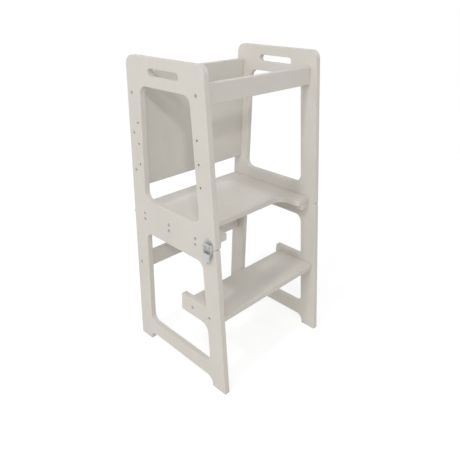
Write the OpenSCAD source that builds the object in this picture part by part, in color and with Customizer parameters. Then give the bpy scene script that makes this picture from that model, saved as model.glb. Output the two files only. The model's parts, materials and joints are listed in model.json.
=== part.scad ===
// Kitchen helper tower for a toddler, in painted board.
// The lower half carries the step. The upper half carries the standing platform, the back
// panel and the front guard rail. Two hinges at the back let the upper half turn over and
// stand behind the lower half, so that the platform's underside becomes a table top.
// A draw latch on each side holds the two halves together at the front.
// The front faces -Y and Z is up. The origin is on the floor, in the middle of the outline.

/* [Tower] */
// Height from the floor to the top of the sides
tower_h = 914.4; // [840:0.1:980]
// Width over the outer faces of the sides
tower_w = 457.2; // [400:0.1:520]
// Depth at the feet, from the front edge to the back edge
foot_depth = 398.8; // [380:0.1:440]
// How far the front edge leans back between the floor and the top
front_lean = 98.8; // [70:0.1:115]
// Thickness of every board
board_t = 18; // [16:0.5:20]

/* [Side frames] */
// Width of the front legs, measured level
front_leg_w = 55.5; // [50:0.5:60]
// Width of the back legs
back_leg_w = 56.5; // [50:0.5:64]
// Height of the rail over the upper window
top_rail_h = 75; // [64:0.5:84]
// Height of the rail under the upper window
sill_h = 55; // [48:0.5:62]
// Height of the rail over the lower opening
lower_rail_h = 53.5; // [50:0.5:60]
// Height of the bar between the feet
foot_bar_h = 46.7; // [38:0.1:56]
// Height of the recess between the feet
foot_recess_h = 29.3; // [22:0.1:36]
// Length of each foot on the floor
foot_len = 52.4; // [44:0.1:64]
// Radius of the top corners
top_corner_r = 25; // [12:1:32]
// Radius in the corners of the window and of the lower opening
opening_r = 25; // [12:1:32]
// Radius of the front corners where the two halves meet
seam_corner_r = 5; // [2:0.5:9]

/* [Handle slots] */
// Length of a handle slot
handle_len = 120; // [100:1:130]
// Height of a handle slot
handle_h = 20; // [18:0.5:26]
// From the back edge to the middle of the slot
handle_from_back = 153.5; // [140:0.5:165]

/* [Height holes] */
// Diameter of the blind holes in the upper legs
hole_d = 6; // [4:0.5:8]
// Depth of the holes from the outer face
hole_depth = 12; // [8:0.5:14]
// From the edge of the leg to the middle of a hole, measured level
hole_inset = 40; // [34:0.5:44]
// Height of the middle holes over the seam
hole_mid_rise = 219.5; // [205:0.5:235]
// Height from one hole to the next
hole_pitch = 60; // [50:0.5:66]

/* [Standing platform] */
// From the front edge of the sides to the front of the platform's noses
nose_setback = 25.5; // [20:0.5:32]
// Width of each nose beside the front cut-out
nose_w = 54.5; // [50:0.5:66]
// Depth of the front cut-out
notch_depth = 68.5; // [55:0.5:80]
// Radius of the nose corners
nose_r = 10; // [5:0.5:16]
// Radius in the corners of the cut-out
notch_r = 32; // [15:1:40]
// Width of the cleats under the platform
cleat_w = 34; // [30:0.5:42]
// Radius of the cleats' front corner
cleat_r = 10; // [4:0.5:14]
// From the back edge to the rearmost platform screw
platform_screw_inset = 50.5; // [42:0.5:58]
// Distance from one platform screw to the next
platform_screw_pitch = 110.4; // [100:0.1:114]

/* [Step] */
// Height of the step's top
step_top = 244.5; // [215:0.5:275]
// Depth of the step board
step_depth = 137; // [125:0.5:150]
// From the front edge of the sides to the front of the step
step_setback = 11.5; // [6:0.5:16]
// Distance between the step's two screws
step_screw_pitch = 70; // [60:0.5:80]
// Height of the tab on each side that carries the step's rear end
tab_h = 55; // [46:0.5:64]
// How far the tab runs on behind the step
tab_past_step = 13.3; // [10:0.1:20]
// Radius above the tab, where it leaves the leg
tab_upper_r = 8; // [4:0.5:14]
// Radius below the tab, where it leaves the leg
tab_lower_r = 27; // [15:0.5:32]
// Radius of the tab's upper tip
tab_tip_r = 2; // [1:0.5:6]
// Radius of the tab's lower tip
tab_heel_r = 5; // [2:0.5:12]

/* [Guard boards] */
// From the top of the sides down to the guard boards
guard_drop = 45.9; // [38:0.1:52]
// Open height between the platform and the back panel
toe_room = 68.3; // [50:0.1:100]
// From the back edge of the sides to the back panel and to the lower slat
back_setback = 10.4; // [8:0.1:16]
// Distance from one back panel screw to the next
panel_screw_pitch = 110.5; // [90:0.5:125]
// Height of the front guard rail
rail_h = 50; // [46:0.5:58]
// From the front edge of the sides to the front guard rail
rail_setback = 22.5; // [18:0.5:28]
// Height of the lower back slat
slat_h = 50; // [46:0.5:60]
// Height of the middle of the lower back slat
slat_mid_h = 287; // [260:1:310]

/* [Screws and dowels] */
// Diameter of the screw heads
head_d = 9.5; // [8:0.1:11]
// Thickness of the screw heads
head_t = 2.5; // [2:0.1:3.5]
// Diameter of the screw shanks
shank_d = 5; // [4:0.1:6]
// How far the screws run into the end of a board
screw_grip = 32; // [24:1:40]
// Wood left in front of a cleat screw's tip
tip_cover = 6; // [3:0.5:9]
// Size of the six-sided socket, across its flats
socket_af = 4; // [3:0.1:4.5]
// Depth of the six-sided socket
socket_depth = 1.8; // [1:0.1:2]
// Diameter of the hidden dowels
dowel_d = 8; // [6:0.5:10]
// Length of the hidden dowels
dowel_len = 30; // [26:1:36]
// Depth of the dowels in the side
dowel_in_side = 10; // [8:0.5:12]
// From the middle of a narrow board to each dowel
dowel_offset = 15; // [12:0.5:17]

/* [Hinges] */
// Thickness of a hinge leaf
leaf_t = 1.6; // [1.2:0.1:2]
// Radius of a hinge knuckle
knuckle_r = 3.2; // [2.8:0.1:3.6]
// Radius of a hinge pin
hinge_pin_r = 1.5; // [1.2:0.1:1.8]
// Wood left bare around a hinge leaf
leaf_margin = 3; // [2:0.5:4]
// Length of the hinge screws in the wood
hinge_screw_len = 14; // [10:1:18]

/* [Latches] */
// From the front edge of the sides at the seam to the middle of a latch
latch_setback = 26; // [22:0.5:34]
// Width of a latch's two plates
latch_w = 33; // [30:0.5:36]
// Thickness of the latch's sheet steel
sheet_t = 1.5; // [1.2:0.1:1.8]
// Height of the base plate
base_h = 44.5; // [42:0.5:47]
// From the seam down to the base plate
base_gap = 2; // [1:0.5:3]
// Height of the catch plate
catch_h = 27.5; // [26:0.5:30]
// From the seam up to the catch plate
catch_gap = 2; // [1:0.5:3]
// Width across the narrow ends of the two plates
plate_tip_w = 10; // [9:0.5:14]
// Height of each plate beside the seam, before it narrows
plate_side_h = 13; // [10:0.5:16]
// Radius of the plates' corners away from the seam
plate_r = 4; // [3:0.5:5]
// From the seam down to the lever's pivot
pivot_drop = 15; // [14.5:0.1:16]
// From the side's face out to the lever's pivot
pivot_out = 6; // [5.8:0.1:6.6]
// From the lever's pivot down to the bail's pivot
bail_drop = 9.7; // [9:0.1:10.4]
// How much nearer to the side the bail's pivot is than the lever's
bail_in = 1.5; // [1:0.1:1.6]
// Height of the bail's crossbar over the seam
hook_rise = 13.8; // [13:0.1:15]
// Diameter of the bail's wire
wire_d = 2.5; // [2:0.1:2.6]
// Inner radius of the bail's upper bends
wire_bend = 2.5; // [2:0.1:4]
// Radius of the lever's pivot pin
latch_pin_r = 1.5; // [1.2:0.1:1.7]
// Height of the hook's lip over the crossbar's centre
lip_h = 2.6; // [1.6:0.1:3]
// Length of the lever from its pivot to its tip
lever_len = 23; // [22:0.5:26]
// Width of the lever's tip
tip_w = 10; // [8:0.5:14]
// How far the lever's tip is bent out
tip_out = 2.5; // [1.5:0.1:4]
// Diameter of the small screws' heads
small_head_d = 5.6; // [5:0.1:6]
// Thickness of the small screws' heads
small_head_t = 1.2; // [1:0.1:1.4]
// Diameter of the small screws' shanks
small_shank_d = 3; // [2.5:0.1:3.2]
// Length of the latch screws in the wood
latch_screw_len = 12; // [8:0.5:14]

/* [Hidden] */
$fn = 96;
round_steps = 16;
left = -1;
right = 1;

// Clearances
overrun = 2;
screw_gap = 0.1;
pin_gap = 0.05;
run_gap = 0.3;
socket_gap = 1;

// Share of the foot recess's height that its corners round
recess_r_share = 0.85;

paint = [0.85, 0.83, 0.79];
steel = [0.72, 0.73, 0.74];
beech = [0.82, 0.68, 0.48];

// The sides. The seam is at half height, so the upper half turned over stands level.
seam_z = tower_h / 2;
outer_x = tower_w / 2;
inner_x = outer_x - board_t;
hinge_out = knuckle_r + run_gap;
hinge_reach = hinge_out + knuckle_r;
front_y = -(foot_depth + hinge_reach) / 2;
back_y = front_y + foot_depth;

// The standing platform, with its top face at platform_top
platform_top = seam_z + board_t;
platform_mid = seam_z + board_t / 2;
cleat_mid = seam_z - board_t / 2;
nose_y = front_at(seam_z) + nose_setback;
notch_x = inner_x - nose_w;
notch_y = nose_y + notch_depth;
platform_screw_ys = [for (i = [0:2]) back_y - platform_screw_inset - i * platform_screw_pitch];

// The step
step_mid = step_top - board_t / 2;
step_front = front_at(step_mid) + step_setback;
step_mid_y = step_front + step_depth / 2;
step_screw_ys = [for (s = [-1, 1]) step_mid_y + s * step_screw_pitch / 2];

// The guard boards
guard_top = tower_h - guard_drop;
panel_h = guard_top - platform_top - toe_room;
panel_back = back_y - back_setback;
panel_mid_y = panel_back - board_t / 2;
panel_mid = guard_top - panel_h / 2;
panel_screw_zs = [for (i = [-1:1]) panel_mid + i * panel_screw_pitch];
rail_mid = guard_top - rail_h / 2;
rail_front = front_at(rail_mid) + rail_setback;
rail_mid_y = rail_front + board_t / 2;

// The screws
head_r = head_d / 2;
shank_r = shank_d / 2;
cleat_grip = cleat_w - tip_cover;

// The height holes, as rows of a front and a back hole
hole_zs = [for (i = [-1:1]) seam_z + hole_mid_rise + i * hole_pitch];

// The hinges. A leaf runs from the side's edge across the end of the cleat or the platform.
leaf_x0 = inner_x - cleat_w + leaf_margin;
leaf_len = outer_x - leaf_margin - leaf_x0;
leaf_h = board_t - leaf_margin;
leaf_start = knuckle_r + run_gap;
knuckle_count = 5;
knuckle_pitch = leaf_len / knuckle_count;
hinge_y = back_y + hinge_out;
hinge_screw_xs = [(outer_x + inner_x) / 2, inner_x - cleat_w / 2];
sink_r = small_head_d / 2 + screw_gap;

// The latches, from the wood outwards and from the seam up
latch_y = front_at(seam_z) + latch_setback;
wire_r = wire_d / 2;
ear_out = latch_pin_r + sheet_t;
cover_in = pivot_out + ear_out + run_gap;
cover_out = cover_in + sheet_t;
eye_r = pivot_out - sheet_t - run_gap;
bail_out = pivot_out - bail_in;
bail_eye_r = bail_out - sheet_t - run_gap;
bail_z = -pivot_drop - bail_drop;
leg_y = latch_w / 2 - sheet_t / 2 - wire_r - run_gap;
cheek_y = leg_y - wire_r - run_gap;
ear_y = cheek_y - sheet_t - run_gap;
hook_half = leg_y - wire_r - wire_bend;
hook_top = hook_rise - wire_r - run_gap;
hook_in = pivot_out + wire_r + sheet_t / 2 + run_gap;
catch_top = catch_gap + catch_h;
small_head_r = small_head_d / 2;
small_shank_r = small_shank_d / 2;
edge_room = small_head_r + sheet_t / 2;
base_screws = [
  [-(latch_w / 4), -base_gap - edge_room],
  [latch_w / 4, -base_gap - edge_room],
  [0, edge_room - base_gap - base_h]
];
catch_screws = [
  [-(latch_w / 4), catch_gap + edge_room],
  [latch_w / 4, catch_gap + edge_room],
  [0, catch_top - edge_room - sheet_t]
];

// Y of the sides' leaning front edge at the height z
function front_at(z) = front_y + front_lean * z / tower_h;

// Rounded corners. A corner is [across, up, radius], and corners run anticlockwise.
// A round touches its corner's two edges, and its centre lies halfway between them.
function heading(a, b) = (b - a) / norm(b - a);
function corner_angle(a, b, c) = acos(heading(b, a) * heading(b, c));
function round_start(a, b, c, r) = b + heading(b, a) * r / tan(corner_angle(a, b, c) / 2);
function halfway(a, b, c) = heading([0, 0], heading(b, a) + heading(b, c));
function round_centre(a, b, c, r) = b + halfway(a, b, c) * r / sin(corner_angle(a, b, c) / 2);
function round_sweep(a, b, c) = sign(cross(b - a, c - b)) * (180 - corner_angle(a, b, c));
function turned(v, t) = [v[0] * cos(t) - v[1] * sin(t), v[0] * sin(t) + v[1] * cos(t)];
function round_points(a, b, c, r) =
  let (
    centre = round_centre(a, b, c, r),
    start = round_start(a, b, c, r) - centre,
    sweep = round_sweep(a, b, c)
  )
  [for (i = [0:round_steps]) centre + turned(start, sweep * i / round_steps)];

module rounded_outline(corners) {
  n = len(corners);
  at = [for (c = corners) [c[0], c[1]]];
  polygon([
    for (i = [0:n - 1]) each corners[i][2] > 0
      ? round_points(at[(i + n - 1) % n], at[i], at[(i + 1) % n], corners[i][2])
      : [at[i]]
  ]);
}

// A piece drawn for the right side, put on the side that is asked for
module on_side(side) {
  if (side == right) {
    children();
  } else {
    mirror([1, 0, 0]) children();
  }
}

// A board that stands along the side, drawn as an outline of Y and Z, from the X given
module upright(x, t) {
  translate([x, 0, 0]) rotate([90, 0, 90]) linear_extrude(t) children();
}

// A board that runs from side to side, from the front face y0 and between two heights
module crosswise(y0, z0, z1) {
  translate([-inner_x, y0, z0]) cube([tower_w - board_t * 2, board_t, z1 - z0]);
}

// Something that runs inwards from the right side's outer face at (y, z)
module from_outside(y, z) {
  translate([outer_x, y, z]) rotate([0, -90, 0]) children();
}

// Furniture screw with its head flush, and the hole that it sits in
module screw(grip) {
  difference() {
    union() {
      cylinder(h = head_t, r = head_r);
      cylinder(h = board_t + grip, r = shank_r);
    }
    translate([0, 0, -overrun]) {
      cylinder(h = socket_depth + overrun, r = socket_af / 2 / cos(30), $fn = 6);
    }
  }
}

module screw_hole(grip) {
  translate([0, 0, -overrun]) cylinder(h = head_t + overrun, r = head_r + screw_gap);
  cylinder(h = board_t + grip + socket_gap, r = shank_r + screw_gap);
}

module screws_at(ys, zs, grip) {
  for (side = [left, right]) {
    on_side(side) for (y = ys) for (z = zs) from_outside(y, z) screw(grip);
  }
}

module screw_holes_at(ys, zs, grip) {
  for (y = ys) for (z = zs) from_outside(y, z) screw_hole(grip);
}

// Dowels beside the screw in the end of a narrow board
module dowels(y, z, gap) {
  for (s = [-1, 1]) {
    translate([inner_x + dowel_in_side + gap, y, z + s * dowel_offset]) {
      rotate([0, -90, 0]) cylinder(h = dowel_len + gap * 2, r = dowel_d / 2 + gap);
    }
  }
}

module dowels_both_sides(y, z, gap) {
  for (side = [left, right]) on_side(side) dowels(y, z, gap);
}

// Latch and hinge screws, which run in from the z = 0 face of what they hold
module small_screw_hole(len) {
  cylinder(h = len + screw_gap, r = small_shank_r + screw_gap);
}

module small_recess() {
  for (a = [0, 90]) {
    rotate([0, 0, a]) {
      translate([-small_shank_r, -small_head_t / 4, -overrun]) {
        cube([small_shank_d, small_head_t / 2, small_head_t / 2 + overrun]);
      }
    }
  }
}

// Outlines of the sides, across Y and up Z
module lower_side_outline() {
  recess_r = foot_recess_h * recess_r_share;
  difference() {
    rounded_outline([
      [front_y, 0, 0],
      [front_y + foot_len, 0, 0],
      [front_y + foot_len, foot_recess_h, recess_r],
      [back_y - foot_len, foot_recess_h, recess_r],
      [back_y - foot_len, 0, 0],
      [back_y, 0, 0],
      [back_y, seam_z, 0],
      [front_at(seam_z), seam_z, seam_corner_r]
    ]);
    lower_opening();
  }
}

// The lower opening, which the step's tab reaches into from the front leg
module lower_opening() {
  low = foot_recess_h + foot_bar_h;
  high = seam_z - lower_rail_h;
  tab_low = step_mid - tab_h / 2;
  tab_high = step_mid + tab_h / 2;
  tab_back = step_front + step_depth + tab_past_step;
  rounded_outline([
    [front_at(low) + front_leg_w, low, opening_r],
    [back_y - back_leg_w, low, opening_r],
    [back_y - back_leg_w, high, opening_r],
    [front_at(high) + front_leg_w, high, opening_r],
    [front_at(tab_high) + front_leg_w, tab_high, tab_upper_r],
    [tab_back, tab_high, tab_tip_r],
    [tab_back, tab_low, tab_heel_r],
    [front_at(tab_low) + front_leg_w, tab_low, tab_lower_r]
  ]);
}

module upper_side_outline() {
  difference() {
    rounded_outline([
      [front_at(seam_z), seam_z, seam_corner_r],
      [back_y, seam_z, 0],
      [back_y, tower_h, top_corner_r],
      [front_at(tower_h), tower_h, top_corner_r]
    ]);
    upper_window();
    handle_slot();
  }
}

module upper_window() {
  low = seam_z + sill_h;
  high = tower_h - top_rail_h;
  rounded_outline([
    [front_at(low) + front_leg_w, low, opening_r],
    [back_y - back_leg_w, low, opening_r],
    [back_y - back_leg_w, high, opening_r],
    [front_at(high) + front_leg_w, high, opening_r]
  ]);
}

module handle_slot() {
  end_r = handle_h / 2;
  straight = handle_len - handle_h;
  translate([back_y - handle_from_back, tower_h - top_rail_h / 2]) {
    translate([-straight / 2, -end_r]) square([straight, handle_h]);
    for (s = [-1, 1]) translate([s * straight / 2, 0]) circle(end_r);
  }
}

// Blind holes in the outer face
module height_holes() {
  for (z = hole_zs) for (y = [front_at(z) + hole_inset, back_y - hole_inset]) {
    from_outside(y, z) translate([0, 0, -overrun]) {
      cylinder(h = hole_depth + overrun, r = hole_d / 2);
    }
  }
}

// Lower half
module lower_side(side) {
  color(paint) on_side(side) difference() {
    upright(inner_x, board_t) lower_side_outline();
    screw_holes_at(platform_screw_ys, [cleat_mid], cleat_grip);
    screw_holes_at(step_screw_ys, [step_mid], screw_grip);
    screw_holes_at([panel_mid_y], [slat_mid_h], screw_grip);
    dowels(panel_mid_y, slat_mid_h, screw_gap);
    latch_screw_holes(base_screws);
    hinge_screw_holes(-1);
  }
}

module cleat(side) {
  color(paint) on_side(side) difference() {
    translate([0, 0, seam_z - board_t]) linear_extrude(board_t) rounded_outline([
      [inner_x - cleat_w, nose_y, cleat_r],
      [inner_x, nose_y, 0],
      [inner_x, back_y, 0],
      [inner_x - cleat_w, back_y, 0]
    ]);
    screw_holes_at(platform_screw_ys, [cleat_mid], cleat_grip);
    hinge_screw_holes(-1);
  }
}

module step_board() {
  color(paint) difference() {
    translate([-inner_x, step_front, step_top - board_t]) {
      cube([inner_x * 2, step_depth, board_t]);
    }
    for (side = [left, right]) {
      on_side(side) screw_holes_at(step_screw_ys, [step_mid], screw_grip);
    }
  }
}

module back_slat() {
  color(paint) difference() {
    crosswise(panel_back - board_t, slat_mid_h - slat_h / 2, slat_mid_h + slat_h / 2);
    for (side = [left, right]) {
      on_side(side) screw_holes_at([panel_mid_y], [slat_mid_h], screw_grip);
    }
    dowels_both_sides(panel_mid_y, slat_mid_h, screw_gap);
  }
}

module cleat_screws() {
  color(steel) screws_at(platform_screw_ys, [cleat_mid], cleat_grip);
}

module step_screws() {
  color(steel) screws_at(step_screw_ys, [step_mid], screw_grip);
}

module slat_screws() {
  color(steel) screws_at([panel_mid_y], [slat_mid_h], screw_grip);
}

module slat_dowels() {
  color(beech) dowels_both_sides(panel_mid_y, slat_mid_h, 0);
}

// Upper half
module upper_side(side) {
  color(paint) on_side(side) difference() {
    upright(inner_x, board_t) upper_side_outline();
    height_holes();
    screw_holes_at(platform_screw_ys, [platform_mid], screw_grip);
    screw_holes_at([panel_mid_y], panel_screw_zs, screw_grip);
    screw_holes_at([rail_mid_y], [rail_mid], screw_grip);
    dowels(rail_mid_y, rail_mid, screw_gap);
    latch_screw_holes(catch_screws);
    hinge_screw_holes(1);
  }
}

module platform() {
  color(paint) difference() {
    translate([0, 0, seam_z]) linear_extrude(board_t) rounded_outline([
      [-inner_x, nose_y, 0],
      [-notch_x, nose_y, nose_r],
      [-notch_x, notch_y, notch_r],
      [notch_x, notch_y, notch_r],
      [notch_x, nose_y, nose_r],
      [inner_x, nose_y, 0],
      [inner_x, back_y, 0],
      [-inner_x, back_y, 0]
    ]);
    for (side = [left, right]) {
      on_side(side) screw_holes_at(platform_screw_ys, [platform_mid], screw_grip);
      on_side(side) hinge_screw_holes(1);
    }
  }
}

module back_panel() {
  color(paint) difference() {
    crosswise(panel_back - board_t, guard_top - panel_h, guard_top);
    for (side = [left, right]) {
      on_side(side) screw_holes_at([panel_mid_y], panel_screw_zs, screw_grip);
    }
  }
}

module front_rail() {
  color(paint) difference() {
    crosswise(rail_front, guard_top - rail_h, guard_top);
    for (side = [left, right]) {
      on_side(side) screw_holes_at([rail_mid_y], [rail_mid], screw_grip);
    }
    dowels_both_sides(rail_mid_y, rail_mid, screw_gap);
  }
}

module platform_screws() {
  color(steel) screws_at(platform_screw_ys, [platform_mid], screw_grip);
}

module panel_screws() {
  color(steel) screws_at([panel_mid_y], panel_screw_zs, screw_grip);
}

module rail_screws() {
  color(steel) screws_at([rail_mid_y], [rail_mid], screw_grip);
}

module rail_dowels() {
  color(beech) dowels_both_sides(rail_mid_y, rail_mid, 0);
}

// Hinges. A leaf is drawn for the upper half, from the pin's axis, with the pin along X.
module at_hinge(side, up) {
  on_side(side) translate([leaf_x0, hinge_y, seam_z]) mirror([0, 0, up > 0 ? 0 : 1]) children();
}

module hinge_leaf(knuckles) {
  difference() {
    union() {
      translate([0, -hinge_out, leaf_start]) cube([leaf_len, leaf_t, leaf_h - leaf_start]);
      for (k = knuckles) {
        width = knuckle_pitch - run_gap;
        translate([k * knuckle_pitch + run_gap / 2, 0, 0]) {
          translate([0, -hinge_out, 0]) cube([width, leaf_t, leaf_start + leaf_t]);
          rotate([0, 90, 0]) cylinder(h = width, r = knuckle_r);
        }
      }
    }
    translate([-overrun, 0, 0]) rotate([0, 90, 0]) {
      cylinder(h = leaf_len + overrun * 2, r = hinge_pin_r + pin_gap);
    }
    for (x = hinge_screw_xs) {
      translate([x - leaf_x0, leaf_t - hinge_out, board_t / 2]) rotate([90, 0, 0]) {
        small_screw_hole(leaf_t + screw_gap);
        cylinder(h = leaf_t - screw_gap, r1 = sink_r, r2 = small_shank_r + screw_gap);
      }
    }
  }
}

module hinge_screw_holes(up) {
  for (x = hinge_screw_xs) {
    translate([x, back_y, seam_z + up * board_t / 2]) rotate([90, 0, 0]) {
      translate([0, 0, -overrun]) small_screw_hole(hinge_screw_len + overrun);
    }
  }
}

module hinge_screws(up) {
  for (side = [left, right]) on_side(side) for (x = hinge_screw_xs) {
    translate([x, back_y + leaf_t, seam_z + up * board_t / 2]) rotate([90, 0, 0]) {
      difference() {
        union() {
          cylinder(h = hinge_screw_len + leaf_t, r = small_shank_r);
          cylinder(h = leaf_t - screw_gap, r1 = small_head_r, r2 = small_shank_r);
        }
        small_recess();
      }
    }
  }
}

module hinge_upper_leaf(side) {
  color(steel) at_hinge(side, 1) hinge_leaf([1, 3]);
}

module hinge_lower_leaf(side) {
  color(steel) at_hinge(side, -1) hinge_leaf([0, 2, 4]);
}

module hinge_pin(side) {
  color(steel) at_hinge(side, 1) {
    rotate([0, 90, 0]) cylinder(h = leaf_len - run_gap, r = hinge_pin_r);
  }
}

// Latches, drawn for the right side with X outwards from the side's face and Z from the seam
module at_latch(side) {
  on_side(side) translate([outer_x, latch_y, seam_z]) children();
}

// A sheet or bar across the latch, drawn as an outline of X and Z, between two Y values
module across_latch(y0, y1) {
  translate([0, y1, 0]) rotate([90, 0, 0]) linear_extrude(y1 - y0) children();
}

// A plate flat on the side, drawn as an outline of Y and Z
module latch_plate() {
  rotate([90, 0, 90]) linear_extrude(sheet_t) children();
}

// A plate that is straight from z0 to z1 and narrows to its end at z2
module plate_outline(z0, z1, z2) {
  half = latch_w / 2;
  tip = plate_tip_w / 2;
  up = sign(z2 - z0);
  rounded_outline([
    [-up * half, z0, sheet_t],
    [up * half, z0, sheet_t],
    [up * half, z1, plate_r],
    [up * tip, z2, plate_r],
    [-up * tip, z2, plate_r],
    [-up * half, z1, plate_r]
  ]);
}

module at_latch_screws(places) {
  for (s = places) translate([sheet_t, s[0], s[1]]) rotate([0, -90, 0]) children();
}

module latch_screw_holes(places) {
  translate([outer_x, latch_y, seam_z]) at_latch_screws(places) {
    small_screw_hole(latch_screw_len + sheet_t);
  }
}

module latch_screws(places) {
  for (side = [left, right]) at_latch(side) at_latch_screws(places) {
    difference() {
      union() {
        translate([0, 0, -small_head_t]) cylinder(h = small_head_t, r = small_head_r);
        cylinder(h = latch_screw_len + sheet_t, r = small_shank_r);
      }
      translate([0, 0, -small_head_t]) small_recess();
    }
  }
}

module latch_base(side) {
  low = -base_gap - base_h;
  half = latch_w / 2;
  color(steel) at_latch(side) difference() {
    union() {
      latch_plate() plate_outline(-base_gap, -base_gap - plate_side_h, low);
      for (s = [-1, 1]) {
        y = s * (ear_y - sheet_t / 2);
        across_latch(y - sheet_t / 2, y + sheet_t / 2) {
          translate([pivot_out, -pivot_drop]) circle(ear_out);
          translate([0, -pivot_drop - ear_out]) square([pivot_out, ear_out * 2]);
        }
      }
    }
    across_latch(-half, half) translate([pivot_out, -pivot_drop]) circle(latch_pin_r + pin_gap);
    at_latch_screws(base_screws) small_screw_hole(sheet_t + overrun);
  }
}

module latch_pin(side) {
  color(steel) at_latch(side) across_latch(-cheek_y, cheek_y) {
    translate([pivot_out, -pivot_drop]) circle(latch_pin_r);
  }
}

module latch_lever(side) {
  color(steel) at_latch(side) difference() {
    union() {
      lever_cover();
      for (s = [-1, 1]) {
        y = s * (cheek_y - sheet_t / 2);
        across_latch(y - sheet_t / 2, y + sheet_t / 2) lever_cheek();
      }
    }
    across_latch(-latch_w, latch_w) {
      translate([pivot_out, -pivot_drop]) circle(latch_pin_r + pin_gap);
      translate([bail_out, bail_z]) circle(wire_r + pin_gap);
    }
  }
}

// The lever's cover, which narrows towards its bent tip
module lever_cover() {
  tip_z = -pivot_drop - lever_len;
  bend_z = tip_z + tip_out * 2;
  neck_z = bail_z - bail_eye_r - sheet_t;
  intersection() {
    across_latch(-latch_w, latch_w) polygon([
      [cover_in, ear_out - pivot_drop],
      [cover_in, bend_z],
      [cover_in + tip_out, tip_z],
      [cover_out + tip_out, tip_z],
      [cover_out, bend_z],
      [cover_out, ear_out - pivot_drop]
    ]);
    rotate([90, 0, 90]) linear_extrude(cover_out + tip_out * 2) rounded_outline([
      [-tip_w / 2, tip_z, tip_out],
      [tip_w / 2, tip_z, tip_out],
      [cheek_y, neck_z, tip_out],
      [cheek_y, ear_out - pivot_drop, sheet_t],
      [-cheek_y, ear_out - pivot_drop, sheet_t],
      [-cheek_y, neck_z, tip_out]
    ]);
  }
}

module lever_cheek() {
  translate([pivot_out, -pivot_drop]) circle(eye_r);
  translate([bail_out, bail_z]) circle(bail_eye_r);
  polygon([
    [pivot_out - eye_r, -pivot_drop],
    [bail_out - bail_eye_r, bail_z],
    [bail_out, bail_z - bail_eye_r],
    [cover_in + sheet_t / 2, bail_z - bail_eye_r],
    [cover_in + sheet_t / 2, -pivot_drop]
  ]);
}

module latch_catch(side) {
  half = latch_w / 2;
  color(steel) at_latch(side) difference() {
    union() {
      latch_plate() plate_outline(catch_gap, catch_gap + plate_side_h, catch_top);
      across_latch(-hook_half, hook_half) {
        translate([0, hook_top - sheet_t]) square([hook_in + sheet_t, sheet_t]);
        translate([hook_in, hook_top - sheet_t]) {
          square([sheet_t, hook_rise + lip_h - hook_top + sheet_t]);
        }
      }
    }
    at_latch_screws(catch_screws) small_screw_hole(sheet_t + overrun);
  }
}

// The wire bail, drawn along its own length from its pivot and then leant onto the hook
module latch_bail(side) {
  rise = hook_rise - bail_z;
  reach = norm([bail_in, rise]);
  lean = atan2(bail_in, rise);
  bend = wire_bend + wire_r;
  color(steel) at_latch(side) translate([bail_out, 0, bail_z]) rotate([0, lean, 0]) {
    for (s = [-1, 1]) {
      translate([0, s * leg_y, 0]) {
        sphere(wire_r);
        cylinder(h = reach - bend, r = wire_r);
        rotate([90 * s, 0, 0]) cylinder(h = leg_y - ear_y - run_gap, r = wire_r);
      }
      translate([0, s * (leg_y - bend), reach - bend]) {
        rotate([90, 0, 90]) rotate([0, 0, s > 0 ? 0 : 90]) rotate_extrude(angle = 90) {
          translate([bend, 0]) circle(wire_r);
        }
      }
    }
    translate([0, leg_y - bend, reach]) {
      rotate([90, 0, 0]) cylinder(h = (leg_y - bend) * 2, r = wire_r);
    }
  }
}

lower_side(left);  // lower_side_left
lower_side(right);  // lower_side_right
cleat(left);  // cleat_left
cleat(right);  // cleat_right
step_board();
back_slat();
cleat_screws();
step_screws();
slat_screws();
slat_dowels();
latch_base(left);  // latch_base_left
latch_base(right);  // latch_base_right
latch_pin(left);  // latch_pin_left
latch_pin(right);  // latch_pin_right
color(steel) latch_screws(base_screws);  // latch_base_screws
hinge_lower_leaf(left);  // hinge_lower_leaf_left
hinge_lower_leaf(right);  // hinge_lower_leaf_right
hinge_pin(left);  // hinge_pin_left
hinge_pin(right);  // hinge_pin_right
color(steel) hinge_screws(-1);  // hinge_lower_screws
upper_side(left);  // upper_side_left
upper_side(right);  // upper_side_right
platform();
back_panel();
front_rail();
platform_screws();
panel_screws();
rail_screws();
rail_dowels();
latch_catch(left);  // latch_catch_left
latch_catch(right);  // latch_catch_right
color(steel) latch_screws(catch_screws);  // latch_catch_screws
hinge_upper_leaf(left);  // hinge_upper_leaf_left
hinge_upper_leaf(right);  // hinge_upper_leaf_right
color(steel) hinge_screws(1);  // hinge_upper_screws
latch_lever(left);  // latch_lever_left
latch_lever(right);  // latch_lever_right
latch_bail(left);  // latch_bail_left
latch_bail(right);  // latch_bail_right
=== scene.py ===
import json
import math

import bmesh
import bpy
from mathutils import Matrix, Vector

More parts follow.
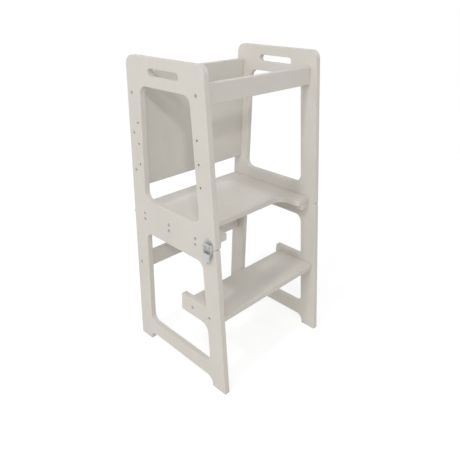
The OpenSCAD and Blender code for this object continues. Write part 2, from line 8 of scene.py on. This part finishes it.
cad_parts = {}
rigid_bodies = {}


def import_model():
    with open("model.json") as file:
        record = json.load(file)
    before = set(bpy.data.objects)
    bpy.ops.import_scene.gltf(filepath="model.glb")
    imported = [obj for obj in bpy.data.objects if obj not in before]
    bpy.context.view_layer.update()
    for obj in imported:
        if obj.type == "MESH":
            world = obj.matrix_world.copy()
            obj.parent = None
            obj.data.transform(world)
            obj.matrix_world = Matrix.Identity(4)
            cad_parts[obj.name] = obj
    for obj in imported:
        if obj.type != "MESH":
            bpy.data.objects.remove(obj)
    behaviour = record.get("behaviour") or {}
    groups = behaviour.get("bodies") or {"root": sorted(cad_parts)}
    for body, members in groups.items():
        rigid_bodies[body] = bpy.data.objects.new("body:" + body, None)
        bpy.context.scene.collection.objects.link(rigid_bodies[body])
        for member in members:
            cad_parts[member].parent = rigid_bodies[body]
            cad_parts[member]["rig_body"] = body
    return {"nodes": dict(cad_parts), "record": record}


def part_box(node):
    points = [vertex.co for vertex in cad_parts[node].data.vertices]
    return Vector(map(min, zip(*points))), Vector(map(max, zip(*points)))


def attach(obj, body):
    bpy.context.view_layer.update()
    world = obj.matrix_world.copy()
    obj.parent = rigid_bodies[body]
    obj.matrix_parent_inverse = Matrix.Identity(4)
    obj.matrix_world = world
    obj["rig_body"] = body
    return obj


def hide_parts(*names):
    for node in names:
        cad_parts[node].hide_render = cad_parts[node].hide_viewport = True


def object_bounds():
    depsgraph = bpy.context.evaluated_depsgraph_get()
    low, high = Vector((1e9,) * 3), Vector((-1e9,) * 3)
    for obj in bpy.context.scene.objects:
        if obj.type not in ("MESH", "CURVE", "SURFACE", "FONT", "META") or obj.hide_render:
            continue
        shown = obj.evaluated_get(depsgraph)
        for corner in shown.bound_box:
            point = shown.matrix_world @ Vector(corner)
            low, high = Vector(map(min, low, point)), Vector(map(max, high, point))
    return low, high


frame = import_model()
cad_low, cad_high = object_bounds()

MM = 0.001
nodes = frame["nodes"]
slot_of = {row["node"]: row["material_slot"] for row in frame["record"]["subparts"]}
scene = bpy.context.scene

# Tolerances for finding edges and corners in the CAD meshes
same_point = 0.002 * MM
same_plane = 0.05 * MM
sliver = 0.01 * MM
flat_angle = math.radians(0.5)
sharp_angle = math.radians(30)

# Boards
PAINTED_BOARDS = [
    "lower_side_left", "lower_side_right", "cleat_left", "cleat_right", "step_board", "back_slat",
    "upper_side_left", "upper_side_right", "platform", "back_panel", "front_rail",
]
arris = 1.4 * MM
hole_arris = 0.35 * MM
arris_steps = 3
hole_arris_steps = 2
largest_hole = 14 * MM

# Screws. A head is a list of rings, each its radius and its depth under the head's face.
screw_sides = 24
FURNITURE_HEAD = [
    (4.3 * MM, 0.0), (4.62 * MM, 0.13 * MM), (4.75 * MM, 0.45 * MM), (4.75 * MM, 2.5 * MM),
    (2.5 * MM, 2.5 * MM), (2.5 * MM, 18.0 * MM),
]
FURNITURE_THREAD = {"crest": 2.5 * MM, "root": 1.85 * MM, "pitch": 1.8 * MM, "point": 3.0 * MM}
thread_flank = 0.3
thread_crest = 0.8
socket_across_flats = 4 * MM
socket_r = socket_across_flats / math.sqrt(3)
socket_depth = 1.8 * MM
PAN_HEAD = [
    (2.05 * MM, 0.0), (2.5 * MM, 0.22 * MM), (2.8 * MM, 0.7 * MM), (2.8 * MM, 1.2 * MM),
    (1.5 * MM, 1.2 * MM), (1.5 * MM, 3.0 * MM),
]
SUNK_HEAD = [
    (2.62 * MM, 0.0), (2.78 * MM, 0.1 * MM), (1.5 * MM, 1.5 * MM), (1.5 * MM, 2.6 * MM),
]
SMALL_THREAD = {"crest": 1.5 * MM, "root": 1.1 * MM, "pitch": 1.1 * MM, "point": 2.0 * MM}
cross_reach = 1.5 * MM
cross_depth = 0.75 * MM
cross_draft = 1.12
recess_rim = 0.15 * MM
turn_between_screws = math.radians(137.5)

# Dowels. Every third edge along a dowel lies deeper, as a flute.
dowel_r = 4 * MM
dowel_sides = 36
flute_every = 3
flute_share = 0.93
dowel_chamfer = 1.0 * MM

# Pressed and folded steel
STEEL_PARTS = [
    "latch_base", "latch_catch", "latch_lever", "hinge_upper_leaf", "hinge_lower_leaf", "hinge_pin",
    "latch_pin", "latch_bail",
]
steel_edge = 0.3 * MM
steel_edge_steps = 2


def screen_colour(red, green, blue):
    """A colour as a screen shows it, from 0 to 255, as the light levels that a shader takes."""
    levels = []
    for value in (red, green, blue):
        share = value / 255
        levels.append(share / 12.92 if share <= 0.04045 else ((share + 0.055) / 1.055) ** 2.4)
    return (*levels, 1.0)


class Finish:
    """The nodes of one material. An input that is another node's output is linked, and any
    other is set on the socket itself."""

    def __init__(self, name):
        self.material = bpy.data.materials.new(name)
        self.material.use_nodes = True
        self.tree = self.material.node_tree
        self.shader = self.tree.nodes["Principled BSDF"]
        self.place = self.node("ShaderNodeTexCoord").outputs["Object"]

    def node(self, kind, inputs=None, **settings):
        made = self.tree.nodes.new(kind)
        for name, value in settings.items():
            setattr(made, name, value)
        self.wire(made, inputs or {})
        return made

    def wire(self, node, inputs):
        for name, value in inputs.items():
            if isinstance(value, bpy.types.NodeSocket):
                self.tree.links.new(value, node.inputs[name])
            else:
                node.inputs[name].default_value = value

    def stretched(self, scale):
        """Object coordinates stretched along an axis, for grain and brush marks."""
        return self.node("ShaderNodeMapping", {"Vector": self.place, "Scale": scale}).outputs[0]

    def noise(self, scale, detail=2.0, roughness=0.5, place=None):
        inputs = {"Vector": place or self.place, "Scale": scale, "Detail": detail, "Roughness": roughness}
        return self.node("ShaderNodeTexNoise", inputs).outputs[0]

    def between(self, value, low, high, to_low=0.0, to_high=1.0):
        """A value's range from low to high, spread over another range."""
        inputs = {"Value": value, "From Min": low, "From Max": high, "To Min": to_low, "To Max": to_high}
        return self.node("ShaderNodeMapRange", inputs, clamp=True).outputs[0]

    def times(self, first, second):
        return self.node("ShaderNodeMath", {0: first, 1: second}, operation="MULTIPLY").outputs[0]

    def plus(self, first, second):
        return self.node("ShaderNodeMath", {0: first, 1: second}, operation="ADD").outputs[0]

    def blend(self, share, first, second, way="MIX"):
        """A colour that turns from the first to the second with the share."""
        mix = self.node("ShaderNodeMix", data_type="RGBA", blend_type=way)
        self.wire(mix, {0: share, 6: first, 7: second})
        return mix.outputs[2]

    def mark(self, name):
        """A number that the mesh carries under this name."""
        return self.node("ShaderNodeAttribute", attribute_name=name).outputs["Fac"]

    def closeness(self, reach):
        """How much of what surrounds a point lies within reach, from 0 to 1."""
        openness = self.node("ShaderNodeAmbientOcclusion", {"Distance": reach}, samples=8)
        return self.between(openness.outputs["AO"], 0.0, 1.0, 1.0, 0.0)

    def bumps(self, height, distance, strength=1.0, under=None):
        inputs = {"Height": height, "Distance": distance, "Strength": strength}
        if under:
            inputs["Normal"] = under
        return self.node("ShaderNodeBump", inputs).outputs[0]

    def done(self, **inputs):
        self.wire(self.shader, {name.replace("_", " "): value for name, value in inputs.items()})
        return self.material


def satin_paint():
    """Off-white satin paint, rolled on: faint clouds of tone, a fine stipple, a drier look on
    the cut edges of the board, a rubbed look along the arrises, painted shade in corners and
    dark painted shade in holes, seams and narrow gaps."""
    finish = Finish("satin_off_white_paint")
    clouds = finish.noise(scale=7.0, detail=3.0)
    specks = finish.noise(scale=420.0, detail=1.0)
    rub = finish.noise(scale=38.0, detail=4.0, roughness=0.65)
    cut_edge = finish.mark("cut_edge")
    edge = finish.mark("arris")

    tone = finish.blend(
        finish.between(clouds, 0.3, 0.7), screen_colour(207, 203, 196), screen_colour(211, 207, 200)
    )
    tone = finish.blend(finish.between(specks, 0.62, 0.8, 0.0, 0.25), tone, screen_colour(201, 197, 189))
    tone = finish.blend(finish.times(cut_edge, 0.35), tone, screen_colour(203, 199, 190))
    rubbed = finish.times(edge, finish.between(rub, 0.52, 0.74, 0.0, 0.4))
    tone = finish.blend(rubbed, tone, screen_colour(196, 184, 166))
    # Painted shade: the paint turns darker where other surfaces lie close, in corners and under parts.
    painted_shade_closeness = finish.closeness(8 * MM)
    tone = finish.blend(finish.times(painted_shade_closeness, 0.4), tone, screen_colour(160, 151, 138))
    # Painted shade: seams, hole walls and narrow gaps turn dark brown where they are closed in.
    painted_gap_shade = finish.between(painted_shade_closeness, 0.58, 0.84, 0.0, 0.9)
    tone = finish.blend(painted_gap_shade, tone, screen_colour(84, 79, 72))

    shine = finish.between(finish.noise(scale=90.0, detail=3.0), 0.3, 0.7, 0.4, 0.5)
    shine = finish.plus(shine, finish.times(cut_edge, 0.12))
    stipple = finish.bumps(finish.noise(scale=1100.0, detail=2.0), distance=0.03 * MM, strength=0.5)
    raised = finish.times(finish.noise(scale=2300.0, detail=1.0), cut_edge)
    fibres = finish.bumps(raised, distance=0.05 * MM, strength=0.6, under=stipple)
    rolled = finish.noise(scale=26.0, detail=1.0)
    waves = finish.bumps(rolled, distance=0.12 * MM, strength=0.6, under=fibres)
    return finish.done(Base_Color=tone, Roughness=shine, Normal=waves)


def plated_steel(name, colour, dull, roughness, scratch_depth):
    """Plated steel: a plating that clouds over in places, hairline scratches, and painted shade
    in the corners."""
    finish = Finish(name)
    clouds = finish.noise(scale=160.0, detail=4.0, roughness=0.6)
    lines = finish.noise(scale=900.0, detail=2.0, place=finish.stretched((1.0, 1.0, 0.06)))
    tone = finish.blend(finish.between(clouds, 0.35, 0.75), colour, dull)
    # Painted shade: the steel turns darker in its corners and where other parts lie close.
    corners = finish.times(finish.closeness(1.5 * MM), 0.25)
    tone = finish.blend(corners, tone, screen_colour(96, 94, 90))
    shine = finish.between(lines, 0.3, 0.75, roughness, roughness + 0.16)
    scratches = finish.bumps(lines, distance=scratch_depth, strength=0.5)
    return finish.done(Base_Color=tone, Metallic=1.0, Roughness=shine, Normal=scratches)


def beech_wood():
    """Bare beech with its grain along X and the short dark flecks that beech has."""
    finish = Finish("bare_beech")
    grain = finish.noise(scale=260.0, detail=3.0, place=finish.stretched((0.08, 1.0, 1.0)))
    flecks = finish.noise(scale=1500.0, detail=1.0, place=finish.stretched((0.18, 1.0, 1.0)))
    tone = finish.blend(
        finish.between(grain, 0.3, 0.7), screen_colour(222, 190, 148), screen_colour(196, 157, 112)
    )
    tone = finish.blend(finish.between(flecks, 0.6, 0.7, 0.0, 0.6), tone, screen_colour(150, 108, 70))
    pores = finish.bumps(flecks, distance=0.05 * MM, strength=0.4)
    shine = finish.between(grain, 0.2, 0.8, 0.55, 0.7)
    return finish.done(Base_Color=tone, Roughness=shine, Normal=pores)


finishes = {
    "painted_board": satin_paint(),
    "screw_steel": plated_steel(
        "zinc_plated_screws", screen_colour(184, 186, 189), screen_colour(168, 170, 173), 0.42, 0.02 * MM
    ),
    "latch_steel": plated_steel(
        "nickel_plated_latch", screen_colour(204, 204, 203), screen_colour(188, 188, 187), 0.5, 0.01 * MM
    ),
    "hinge_steel": plated_steel(
        "satin_nickel_hinge", screen_colour(202, 201, 198), screen_colour(182, 180, 176), 0.4, 0.02 * MM
    ),
    "dowel": beech_wood(),
}


def merged_copy(node):
    """A CAD node's mesh with its triangles joined up and its flat faces made whole."""
    mesh = bmesh.new()
    mesh.from_mesh(nodes[node].data)
    bmesh.ops.remove_doubles(mesh, verts=mesh.verts, dist=same_point)
    bmesh.ops.dissolve_limit(mesh, angle_limit=flat_angle, verts=mesh.verts, edges=mesh.edges)
    return mesh


def sharp_edges(mesh):
    folds = [e for e in mesh.edges if len(e.link_faces) == 2]
    return [e for e in folds if e.calc_face_angle() > sharp_angle]


def touching_groups(mesh, edges):
    """Edges in groups that touch end to end."""
    mesh.edges.index_update()
    waiting = {e.index: e for e in edges}
    groups = []
    while waiting:
        first = min(waiting)
        front = [waiting.pop(first)]
        group = []
        while front:
            edge = front.pop()
            group.append(edge)
            for vert in edge.verts:
                for neighbour in vert.link_edges:
                    if neighbour.index in waiting:
                        front.append(waiting.pop(neighbour.index))
        groups.append(group)
    return groups


def corners_of(edges):
    """The lowest and highest corners of the box round some edges."""
    points = [v.co for e in edges for v in e.verts]
    low = Vector(min(p[i] for p in points) for i in range(3))
    high = Vector(max(p[i] for p in points) for i in range(3))
    return low, high


def reach_of(edges):
    """The diagonal of the box round some edges."""
    low, high = corners_of(edges)
    return (high - low).length


def on_plane(edge, plane):
    """Whether an edge lies on a plane, given as (axis, place)."""
    axis, value = plane
    return all(abs(v.co[axis] - value) < same_plane for v in edge.verts)


def ease(mesh, edges, width, steps, clamp=False):
    """Rounds edges over. Gives back the new faces."""
    eased = bmesh.ops.bevel(
        mesh, geom=edges, offset=width, offset_type="OFFSET", segments=steps, profile=0.5,
        affect="EDGES", material=-1, clamp_overlap=clamp, loop_slide=False,
    )
    return eased["faces"]


def finished_piece(name, mesh, node, smooth_degrees=35):
    """Makes a mesh the piece that stands for a CAD node, in that node's finish."""
    data = bpy.data.meshes.new(name)
    mesh.to_mesh(data)
    mesh.free()
    data.materials.append(finishes[slot_of[node]])
    data.shade_smooth()
    data.set_sharp_from_angle(angle=math.radians(smooth_degrees))
    piece = bpy.data.objects.new(name, data)
    scene.collection.objects.link(piece)
    even = piece.modifiers.new("even_normals", "WEIGHTED_NORMAL")
    even.keep_sharp = True
    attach(piece, nodes[node]["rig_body"])
    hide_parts(node)
    return piece


def seam_height():
    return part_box("upper_side_left")[0].z


def joint_planes(node):
    """The planes in which a board meets others squarely. Its edges stay sharp there."""
    low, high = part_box(node)
    if "side" in node:
        return [(2, seam_height())]
    if "cleat" in node:
        inner = max(low.x, high.x, key=abs)
        return [(0, inner), (2, high.z)]
    return [(0, low.x), (0, high.x)]


def thin_axis(node):
    """The axis that runs through a board's thickness."""
    low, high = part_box(node)
    size = high - low
    return min(range(3), key=lambda axis: size[axis])


def outer_face(node):
    """The plane of a side's outer face."""
    low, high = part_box(node)
    return (0, max(low.x, high.x, key=abs))


def painted_board(node):
    """A board with rounded arrises. Its mesh says where the cut edges and the arrises are."""
    mesh = merged_copy(node)
    across = thin_axis(node)
    planes = joint_planes(node)
    cut_edge = mesh.loops.layers.float.new("cut_edge")
    for face in mesh.faces:
        for loop in face.loops:
            loop[cut_edge] = 1.0 if abs(face.normal[across]) < 0.5 else 0.0
    outline = []
    holes = []
    for group in touching_groups(mesh, sharp_edges(mesh)):
        if reach_of(group) < largest_hole:
            holes += group
        else:
            outline += [e for e in group if not any(on_plane(e, plane) for plane in planes)]
    worn = mesh.loops.layers.float.new("arris")
    for face in ease(mesh, outline, arris, arris_steps):
        for loop in face.loops:
            loop[worn] = 1.0
    if "side" in node:
        face = outer_face(node)
        rims = [e for e in holes if e.is_valid and on_plane(e, face)]
        ease(mesh, rims, hole_arris, hole_arris_steps)
    bmesh.ops.dissolve_degenerate(mesh, edges=mesh.edges, dist=sliver)
    return finished_piece(node + "_painted", mesh, node)


def plated_part(node):
    """A steel part with its sheared edges broken."""
    mesh = merged_copy(node)
    ease(mesh, sharp_edges(mesh), steel_edge, steel_edge_steps, clamp=True)
    return finished_piece(node + "_plated", mesh, node)


def separate_solids(node):
    """The corners of the box round each of a CAD node's solids."""
    mesh = merged_copy(node)
    boxes = [corners_of(group) for group in touching_groups(mesh, mesh.edges)]
    mesh.free()
    return boxes


def long_axis(low, high):
    size = high - low
    return max(range(3), key=lambda axis: size[axis])


def outward_end(low, high):
    """The middle of a solid's outer end, the way that end faces, and the solid's length."""
    axis = long_axis(low, high)
    middle = (low + high) / 2
    sign = 1.0 if middle[axis] > 0 else -1.0
    facing = Vector((0.0, 0.0, 0.0))
    facing[axis] = sign
    length = high[axis] - low[axis]
    return middle + facing * length / 2, facing, length


def without_repeats(elements):
    """Each element once, in the order in which they come."""
    return list(dict.fromkeys(elements))


def ring_at(mesh, radius, sides, depth):
    """A ring of edges round the Z axis."""
    made = bmesh.ops.create_circle(mesh, cap_ends=False, segments=sides, radius=radius)
    bmesh.ops.translate(mesh, verts=made["verts"], vec=(0, 0, -depth))
    return without_repeats(e for v in made["verts"] for e in v.link_edges)


def drawn_on(mesh, ring, radius, depth):
    """Extrudes a ring of edges to another radius and depth. Gives back the new ring."""
    made = bmesh.ops.extrude_edge_only(mesh, edges=ring)["geom"]
    verts = [g for g in made if isinstance(g, bmesh.types.BMVert)]
    grow = radius / max(v.co.xy.length for v in verts)
    bmesh.ops.scale(mesh, vec=(grow, grow, 1), verts=verts)
    bmesh.ops.translate(mesh, verts=verts, vec=(0, 0, -depth - verts[0].co.z))
    return [g for g in made if isinstance(g, bmesh.types.BMEdge)]


def socket_recess(mesh):
    """A six-sided socket with a lead-in. Gives back the rim of its mouth."""
    rim = ring_at(mesh, socket_r + 2 * recess_rim, screw_sides, 0.0)
    corners = ring_at(mesh, socket_r, 6, recess_rim)
    bmesh.ops.subdivide_edges(mesh, edges=corners, cuts=screw_sides // 6 - 1)
    lip = [e for e in mesh.edges if e not in rim and e.is_wire]
    bmesh.ops.bridge_loops(mesh, edges=rim + lip)
    floor = drawn_on(mesh, lip, socket_r, socket_depth)
    drill_point = drawn_on(mesh, floor, socket_r / 3, socket_depth + recess_rim)
    bmesh.ops.edgeloop_fill(mesh, edges=drill_point)
    return rim


def cross_recess(mesh):
    """A cross recess with leaning walls. Gives back the round rim of its mouth."""
    rim = ring_at(mesh, cross_reach * cross_draft + recess_rim, screw_sides, 0.0)
    made = bmesh.ops.create_grid(mesh, x_segments=3, y_segments=3, size=cross_reach)
    squares = without_repeats(f for v in made["verts"] for f in v.link_faces)
    third = cross_reach / 3
    outer_corners = []
    for square in squares:
        middle = square.calc_center_median()
        if min(abs(middle.x), abs(middle.y)) > third:
            outer_corners.append(square)
    bmesh.ops.delete(mesh, geom=outer_corners, context="FACES")
    floor = [e for e in mesh.edges if e.is_boundary and e not in rim]
    bmesh.ops.subdivide_edges(mesh, edges=floor, cuts=1)
    floor = [e for e in mesh.edges if e.is_boundary and e not in rim]
    sunk = without_repeats(v for e in mesh.edges if e.link_faces for v in e.verts)
    bmesh.ops.translate(mesh, verts=sunk, vec=(0, 0, -cross_depth))
    mouth = drawn_on(mesh, floor, cross_reach * cross_draft, 0.0)
    bmesh.ops.bridge_loops(mesh, edges=rim + mouth)
    return rim


def threaded_screw(head, thread, recess, length):
    """A screw round the Z axis, with the face of its head at the origin. The recess is the
    function that makes it."""
    mesh = bmesh.new()
    ring = recess(mesh)
    for radius, depth in head:
        ring = drawn_on(mesh, ring, radius, depth)
    depth = head[-1][1]
    pitch = thread["pitch"]
    while depth + pitch < length - thread["point"]:
        ring = drawn_on(mesh, ring, thread["root"], depth + pitch * thread_flank)
        ring = drawn_on(mesh, ring, thread["crest"], depth + pitch * thread_crest)
        ring = drawn_on(mesh, ring, thread["crest"], depth + pitch)
        depth += pitch
    ring = drawn_on(mesh, ring, thread["root"], length - thread["point"])
    ring = drawn_on(mesh, ring, thread["root"] / 4, length)
    bmesh.ops.edgeloop_fill(mesh, edges=ring)
    bmesh.ops.recalc_face_normals(mesh, faces=mesh.faces)
    return mesh


def fluted_dowel(length):
    """A dowel round the Z axis, with one end at the origin."""
    mesh = bmesh.new()
    start = ring_at(mesh, dowel_r - dowel_chamfer, dowel_sides, 0.0)
    flutes = list(mesh.verts)[::flute_every]
    bmesh.ops.scale(mesh, vec=(flute_share, flute_share, 1), verts=flutes)
    bmesh.ops.edgeloop_fill(mesh, edges=start)
    ring = drawn_on(mesh, start, dowel_r, dowel_chamfer)
    ring = drawn_on(mesh, ring, dowel_r, length - dowel_chamfer)
    ring = drawn_on(mesh, ring, dowel_r - dowel_chamfer, length)
    bmesh.ops.edgeloop_fill(mesh, edges=ring)
    bmesh.ops.recalc_face_normals(mesh, faces=mesh.faces)
    return mesh


def set_of_fasteners(node, name, one_fastener):
    """Puts a detailed fastener in the place of each of a CAD node's solids."""
    whole = bmesh.new()
    for number, (low, high) in enumerate(separate_solids(node)):
        end, facing, length = outward_end(low, high)
        one = one_fastener(length)
        turned = Matrix.Rotation(number * turn_between_screws, 4, "Z")
        aimed = facing.to_track_quat("Z", "Y").to_matrix().to_4x4()
        bmesh.ops.transform(one, matrix=Matrix.Translation(end) @ aimed @ turned, verts=one.verts)
        placed = bpy.data.meshes.new("placed_fastener")
        one.to_mesh(placed)
        one.free()
        whole.from_mesh(placed)
        bpy.data.meshes.remove(placed)
    return finished_piece(name, whole, node)


def furniture_screw(length):
    return threaded_screw(FURNITURE_HEAD, FURNITURE_THREAD, socket_recess, length)


def latch_screw(length):
    return threaded_screw(PAN_HEAD, SMALL_THREAD, cross_recess, length)


def hinge_screw(length):
    return threaded_screw(SUNK_HEAD, SMALL_THREAD, cross_recess, length)


for board in PAINTED_BOARDS:
    painted_board(board)
for side in ("left", "right"):
    for part in STEEL_PARTS:
        plated_part(f"{part}_{side}")
for node in nodes:
    if node.endswith("_dowels"):
        set_of_fasteners(node, node + "_fluted", fluted_dowel)
    elif node.startswith("latch") and node.endswith("_screws"):
        set_of_fasteners(node, node + "_threaded", latch_screw)
    elif node.startswith("hinge") and node.endswith("_screws"):
        set_of_fasteners(node, node + "_threaded", hinge_screw)
    elif node.endswith("_screws"):
        set_of_fasteners(node, node + "_threaded", furniture_screw)


# Floor, light and camera
floor_half = 2.6
floor_drop = 0.2 * MM
floor_paint = (0.7, 0.68, 0.64, 1.0)
floor_glow = 0.72
floor_shadow = (0.34, 0.34, 0.34, 1.0)
white = (1.0, 1.0, 1.0, 1.0)
sky_level = 0.46
lamp_distance = 6.0
# Each lamp: its bearing in degrees (0 is the front, -90 the left side, 90 the right side), its
# height in degrees, the side of its square in metres, and its power in watts
LAMPS = {
    "left_key": (-87, 45.5, 0.4, 62.5),
    "left_low": (-84, 18, 0.4, 24.0),
    "front_left_spot": (-40, 32, 0.4, 61.8),
    "front_left_soft": (-60, 55, 2.0, 40.0),
    "front_fill": (-16, 12, 2.0, 31.5),
    "right_fill": (82, 24, 1.9, 45.9),
    "back_left_fill": (-143, 40, 1.3, 33.7),
    "back_fill": (180, 12, 1.5, 105.0),
}
camera_place = Vector((-0.984, -0.90635, 1.064))
camera_azimuth = math.radians(-43.09)
camera_elevation = math.radians(25.12)
focal_length = 37.2
sensor_width = 36.0
shift_across = 0.0628
shift_up = -0.0339


def seen_or_felt(tree, seen, felt):
    """Shows one shader to the camera, gloss and glass, and lights the tower with the other."""
    path = tree.nodes.new("ShaderNodeLightPath")
    camera_or_gloss = tree.nodes.new("ShaderNodeMath")
    camera_or_gloss.operation = "MAXIMUM"
    tree.links.new(path.outputs["Is Camera Ray"], camera_or_gloss.inputs[0])
    tree.links.new(path.outputs["Is Glossy Ray"], camera_or_gloss.inputs[1])
    any_of_three = tree.nodes.new("ShaderNodeMath")
    any_of_three.operation = "MAXIMUM"
    tree.links.new(camera_or_gloss.outputs[0], any_of_three.inputs[0])
    tree.links.new(path.outputs["Is Transmission Ray"], any_of_three.inputs[1])
    choice = tree.nodes.new("ShaderNodeMixShader")
    tree.links.new(any_of_three.outputs[0], choice.inputs[0])
    tree.links.new(felt, choice.inputs[1])
    tree.links.new(seen, choice.inputs[2])
    return choice.outputs[0]


def white_surroundings():
    """A world that lights the tower softly and shows as white."""
    world = bpy.data.worlds.new("studio_white")
    scene.world = world
    world.use_nodes = True
    tree = world.node_tree
    tree.nodes.clear()
    soft = tree.nodes.new("ShaderNodeBackground")
    soft.inputs["Color"].default_value = white
    soft.inputs["Strength"].default_value = sky_level
    bright = tree.nodes.new("ShaderNodeBackground")
    bright.inputs["Color"].default_value = white
    bright.inputs["Strength"].default_value = 1.0
    out = tree.nodes.new("ShaderNodeOutputWorld")
    tree.links.new(seen_or_felt(tree, bright.outputs[0], soft.outputs[0]), out.inputs[0])


def pale_floor():
    """A plain floor that shows as white outside the tower's shadow."""
    mesh = bmesh.new()
    bmesh.ops.create_grid(mesh, x_segments=1, y_segments=1, size=floor_half)
    bmesh.ops.translate(mesh, verts=mesh.verts, vec=(0, 0, -floor_drop))
    data = bpy.data.meshes.new("floor")
    mesh.to_mesh(data)
    mesh.free()
    floor = bpy.data.objects.new("floor", data)
    scene.collection.objects.link(floor)
    paint = bpy.data.materials.new("pale_floor")
    paint.use_nodes = True
    tree = paint.node_tree
    tree.nodes.clear()
    real = tree.nodes.new("ShaderNodeBsdfDiffuse")
    real.inputs["Color"].default_value = floor_paint
    glow = tree.nodes.new("ShaderNodeEmission")
    glow.inputs["Strength"].default_value = floor_glow
    thin = tree.nodes.new("ShaderNodeBsdfDiffuse")
    thin.inputs["Color"].default_value = floor_shadow
    seen = tree.nodes.new("ShaderNodeAddShader")
    tree.links.new(glow.outputs[0], seen.inputs[0])
    tree.links.new(thin.outputs[0], seen.inputs[1])
    out = tree.nodes.new("ShaderNodeOutputMaterial")
    tree.links.new(seen_or_felt(tree, seen.outputs[0], real.outputs[0]), out.inputs[0])
    data.materials.append(paint)


def soft_lamp(name, bearing, height, size, power):
    """A square lamp that faces the middle of the tower."""
    light = bpy.data.lights.new(name, "AREA")
    light.shape = "SQUARE"
    light.size = size
    light.energy = power
    lamp = bpy.data.objects.new(name, light)
    middle = (cad_low + cad_high) / 2
    level = math.cos(math.radians(height))
    away = Vector((
        math.sin(math.radians(bearing)) * level,
        -math.cos(math.radians(bearing)) * level,
        math.sin(math.radians(height)),
    ))
    lamp.location = middle + away * lamp_distance
    lamp.rotation_euler = away.to_track_quat("Z", "Y").to_euler()
    lamp.visible_camera = False
    scene.collection.objects.link(lamp)


def photo_camera():
    """The camera at the photograph's viewing angle."""
    data = bpy.data.cameras.new("camera")
    data.lens = focal_length
    data.sensor_width = sensor_width
    data.shift_x = shift_across
    data.shift_y = shift_up
    camera = bpy.data.objects.new("camera", data)
    back = Vector((
        math.sin(camera_azimuth) * math.cos(camera_elevation),
        -math.cos(camera_azimuth) * math.cos(camera_elevation),
        math.sin(camera_elevation),
    ))
    camera.location = camera_place
    camera.rotation_euler = (-back).to_track_quat("-Z", "Y").to_euler()
    scene.collection.objects.link(camera)
    scene.camera = camera


white_surroundings()
pale_floor()
for lamp_name, (bearing, height, size, power) in LAMPS.items():
    soft_lamp(lamp_name, bearing, height, size, power)
photo_camera()
scene.view_settings.view_transform = "Standard"
